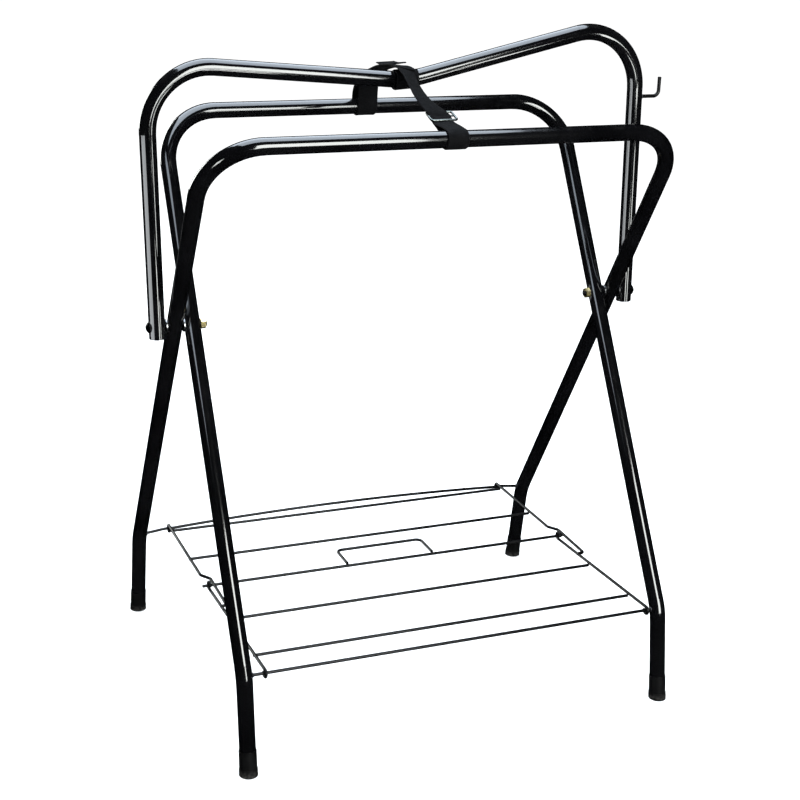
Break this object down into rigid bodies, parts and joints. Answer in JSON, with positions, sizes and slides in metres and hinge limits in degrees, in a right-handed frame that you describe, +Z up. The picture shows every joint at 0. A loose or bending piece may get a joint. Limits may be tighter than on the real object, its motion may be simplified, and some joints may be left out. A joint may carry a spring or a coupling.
{
  "type": "saddle rack",
  "caption": "Folding saddle rack: crossed bent tube frames under a dipped ridge tube, a fold-up wire shelf, a webbing strap and a bridle hook.",
  "frame": {"origin": "centre of the footprint box, on the floor under the foot tips", "axes": "+X along the rails towards the bridle hook, +Y from the front rail to the back rail, +Z up"},
  "size_m": [0.7664, 0.5412, 0.9299],
  "materials": {
    "tube_enamel": "gloss black enamel",
    "wire_enamel": "gloss black enamel on wire",
    "vinyl_tip": "satin black vinyl",
    "bolt_steel": "dark zinc",
    "zinc": "bright zinc",
    "yellow_zinc": "yellow zinc",
    "webbing": "woven black nylon",
    "buckle_steel": "bright nickel plate"
  },
  "bodies": {
    "ridge": {"ridge_frame": "tube_enamel", "bridle_hook": "wire_enamel", "pivot_bolt_left": "bolt_steel", "pivot_bolt_right": "bolt_steel", "lock_nut_left": "yellow_zinc", "lock_nut_right": "yellow_zinc", "outer_washer_left": "zinc", "outer_washer_right": "zinc", "inner_washer_left": "zinc", "inner_washer_right": "zinc", "strap_ridge_wrap": "webbing"},
    "front_rail_legs": {"front_rail_frame": "tube_enamel", "rear_tie_rod": "wire_enamel", "foot_tip_rear_left": "vinyl_tip", "foot_tip_rear_right": "vinyl_tip", "strap_front_loop": "webbing", "strap_front_span": "webbing", "strap_buckle": "buckle_steel"},
    "back_rail_legs": {"back_rail_frame": "tube_enamel", "front_tie_rod": "wire_enamel", "foot_tip_front_left": "vinyl_tip", "foot_tip_front_right": "vinyl_tip", "strap_rear_loop": "webbing", "strap_rear_span": "webbing"},
    "shelf_rear_half": {"shelf_hinge_rod": "wire_enamel", "shelf_handle": "wire_enamel", "rear_side_wire_left": "wire_enamel", "rear_side_wire_right": "wire_enamel", "rear_cross_wire_back": "wire_enamel", "rear_cross_wire_middle": "wire_enamel"},
    "shelf_front_half": {"front_side_wire_left": "wire_enamel", "front_side_wire_right": "wire_enamel", "front_cross_wire_middle": "wire_enamel", "front_cross_wire_front": "wire_enamel"}
  },
  "joints": [
    {"name": "front_rail_fold", "type": "hinge", "parent": "ridge", "child": "front_rail_legs", "pos_m": [-0.0074, 0, 0.54], "axis": [-1, 0, 0], "range_deg": [0, 23], "deforming": ["strap_front_span", "strap_buckle"]},
    {"name": "back_rail_fold", "type": "hinge", "parent": "ridge", "child": "back_rail_legs", "pos_m": [-0.0074, 0, 0.54], "axis": [1, 0, 0], "range_deg": [0, 23], "deforming": ["strap_rear_span"]},
    {"name": "shelf_rear_hinge", "type": "hinge", "parent": "front_rail_legs", "child": "shelf_rear_half", "pos_m": [-0.0074, 0.23593, 0.14127], "axis": [-1, 0, 0], "range_deg": [0, 76.2]},
    {"name": "shelf_middle_hinge", "type": "hinge", "parent": "shelf_rear_half", "child": "shelf_front_half", "pos_m": [-0.0074, 0.02596, 0.13761], "axis": [1, 0, 0], "range_deg": [0, 153.21]}
  ],
  "couplings": [
    {"joint": "back_rail_fold", "follows": "front_rail_fold", "ratio": 1},
    {"joint": "shelf_rear_hinge", "follows": "front_rail_fold", "ratio": 3.3132},
    {"joint": "shelf_middle_hinge", "follows": "front_rail_fold", "ratio": 6.6614}
  ]
}
